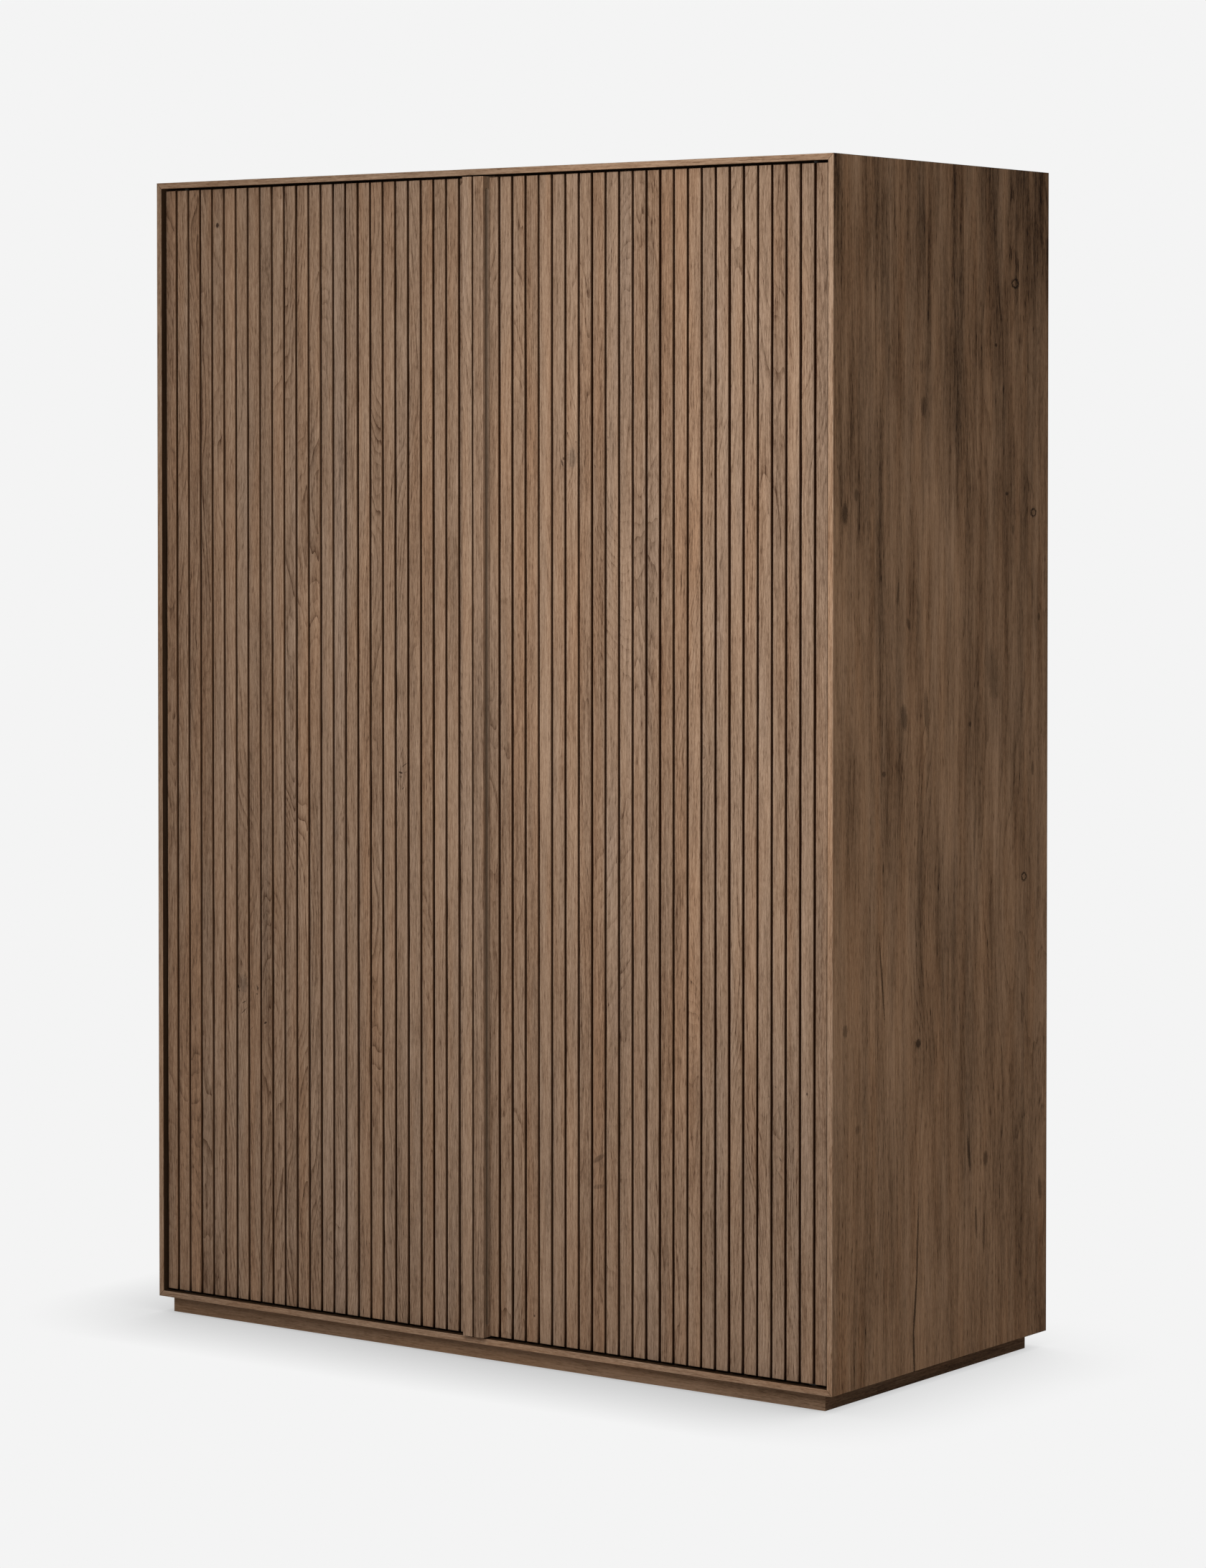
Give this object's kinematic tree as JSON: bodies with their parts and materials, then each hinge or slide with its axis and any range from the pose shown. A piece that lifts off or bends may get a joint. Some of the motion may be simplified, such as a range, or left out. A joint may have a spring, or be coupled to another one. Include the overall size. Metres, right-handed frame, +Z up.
{
  "type": "slatted door cupboard",
  "caption": "Tall free-standing oak cupboard with a mitred case on a plinth and paired doors faced with upright slats, hung on pivots and pulled by coved grips.",
  "frame": {"origin": "on the floor under the middle of the whole outline, grips included", "axes": "+X to the right and +Y to the back as seen from the front, +Z up; the doors face -Y"},
  "size_m": [1.4, 0.66, 1.96],
  "materials": {
    "front_oak": "matt, brushed grain",
    "side_oak": "matt, brushed grain",
    "door_board": "matt dark stain",
    "inner_oak": "matt",
    "plinth_oak": "matt dark stain",
    "back_ply": "matt",
    "hidden_wood": "raw",
    "steel": "zinc plated",
    "bronze": "sintered",
    "nylon": "matt",
    "magnet": "nickel plated",
    "felt": "matt felt"
  },
  "bodies": {
    "case": {"top_panel": "side_oak", "bottom_panel": "side_oak", "centre_partition": "inner_oak", "plinth_front_rail": "plinth_oak", "plinth_right_rail": "plinth_oak", "plinth_back_rail": "plinth_oak", "plinth_left_rail": "plinth_oak", "mitre_splines": "hidden_wood", "plinth_corner_blocks": "hidden_wood", "thrust_washers": "nylon", "catch_magnets": "magnet", "door_stop_pads": "felt", "left_side_panel": "side_oak", "right_side_panel": "side_oak", "left_shelf_1": "inner_oak", "left_shelf_2": "inner_oak", "left_shelf_3": "inner_oak", "left_shelf_battens": "inner_oak", "right_shelf_1": "inner_oak", "right_shelf_2": "inner_oak", "right_shelf_3": "inner_oak", "right_shelf_battens": "inner_oak", "left_back_board": "back_ply", "right_back_board": "back_ply", "left_pivot_bushes": "bronze", "right_pivot_bushes": "bronze"},
    "left_door": {"left_door_board": "door_board", "left_door_slats": "front_oak", "left_door_grip": "front_oak", "left_pivot_plates": "steel", "left_pivot_screws": "steel", "left_strike_plates": "steel"},
    "right_door": {"right_door_board": "door_board", "right_door_slats": "front_oak", "right_door_grip": "front_oak", "right_pivot_plates": "steel", "right_pivot_screws": "steel", "right_strike_plates": "steel"}
  },
  "joints": [
    {"name": "left_door_pivot", "type": "hinge", "parent": "case", "child": "left_door", "pos_m": [-0.652, -0.295, 0.041], "axis": [0, 0, -1], "range_deg": [0, 105]},
    {"name": "right_door_pivot", "type": "hinge", "parent": "case", "child": "right_door", "pos_m": [0.652, -0.295, 0.041], "axis": [0, 0, 1], "range_deg": [0, 105]}
  ]
}
